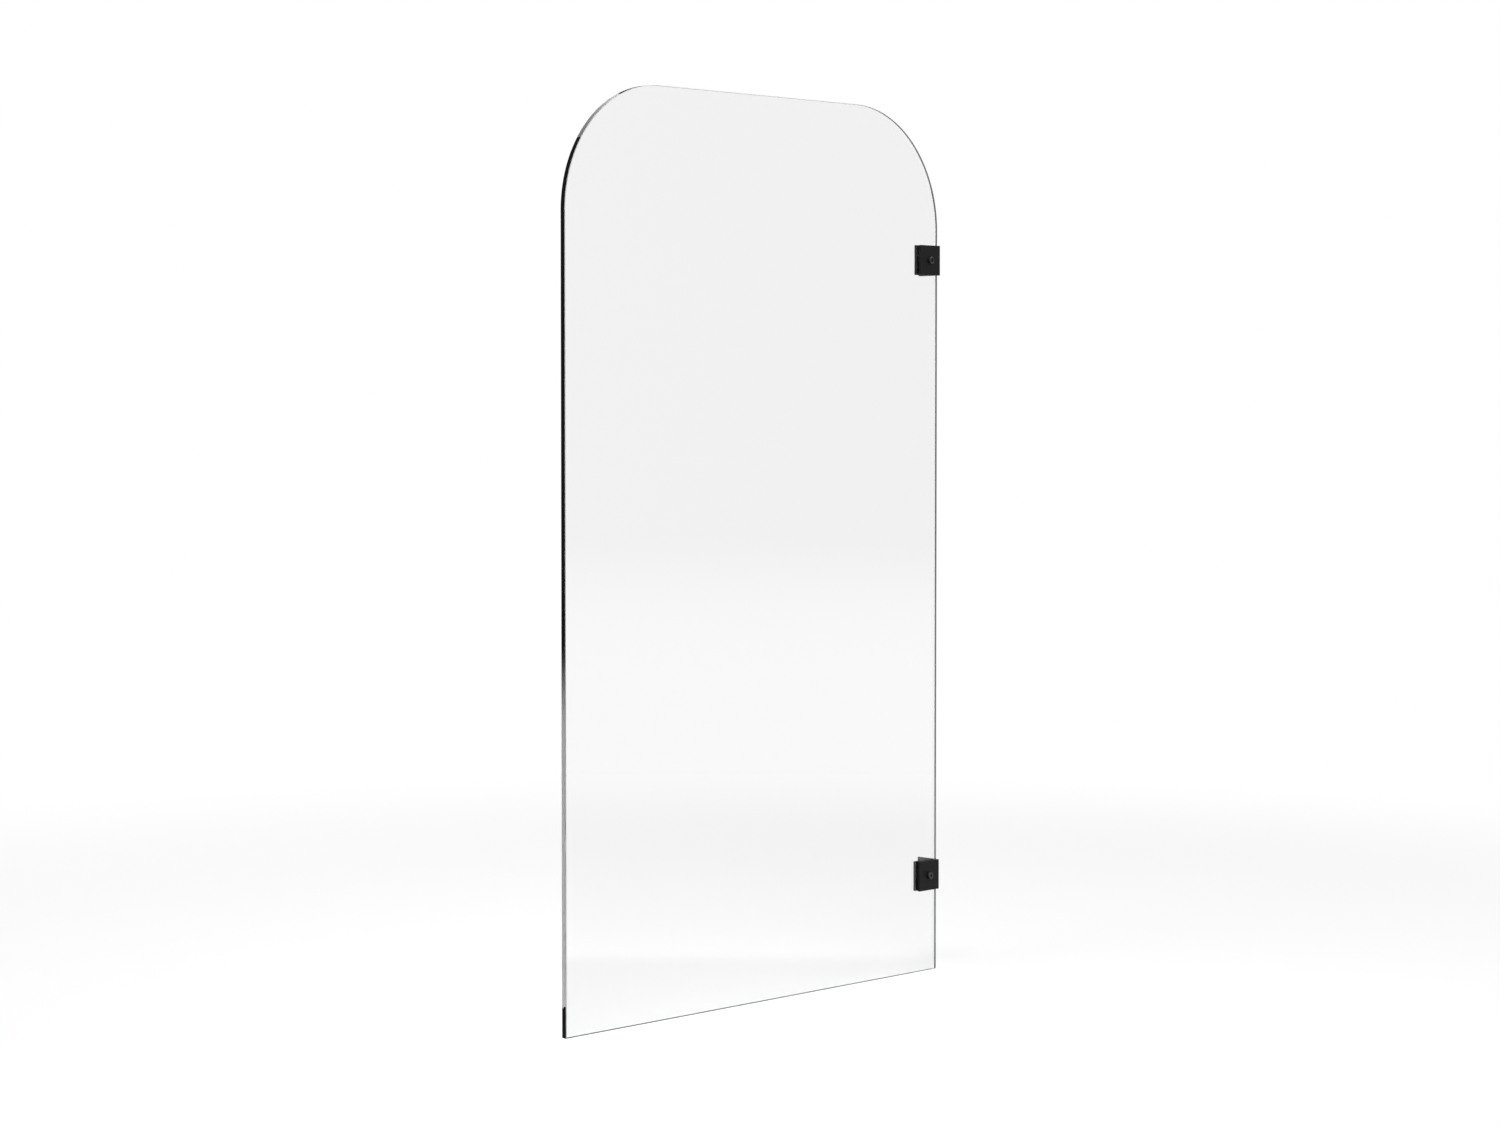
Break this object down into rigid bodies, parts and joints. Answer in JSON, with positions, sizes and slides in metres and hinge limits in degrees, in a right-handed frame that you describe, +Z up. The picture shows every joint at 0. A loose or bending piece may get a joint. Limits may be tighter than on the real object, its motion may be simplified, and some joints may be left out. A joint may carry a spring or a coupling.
{
  "type": "bath screen",
  "caption": "Fixed frameless bath screen: a clear toughened glass panel with large round top corners, clamped to the wall by square matt black brackets.",
  "frame": {"origin": "middle of the glass panel's bottom edge, on the plane that rests on the bath's rim", "axes": "+Z up; +X along the glass from the free edge to the wall; -Y is the front, the side of the clamp plates, and +Y the side of the wall flanges"},
  "size_m": [0.852, 0.0546, 1.45],
  "materials": {
    "clear_glass": "clear toughened glass, polished edges with a ground arris",
    "matt_black_metal": "matt black powder coat",
    "black_screw": "black coated stainless steel, slightly smoother than the brackets",
    "black_gasket": "thin black rubber sheet",
    "nylon_sleeve": "black nylon"
  },
  "bodies": {
    "root": {"glass_panel": "clear_glass", "lower_wall_bracket": "matt_black_metal", "lower_clamp_plate": "matt_black_metal", "lower_clamp_screw": "black_screw", "lower_glass_sleeve": "nylon_sleeve", "lower_front_gasket": "black_gasket", "lower_rear_gasket": "black_gasket", "upper_wall_bracket": "matt_black_metal", "upper_clamp_plate": "matt_black_metal", "upper_clamp_screw": "black_screw", "upper_glass_sleeve": "nylon_sleeve", "upper_front_gasket": "black_gasket", "upper_rear_gasket": "black_gasket"}
  },
  "joints": []
}
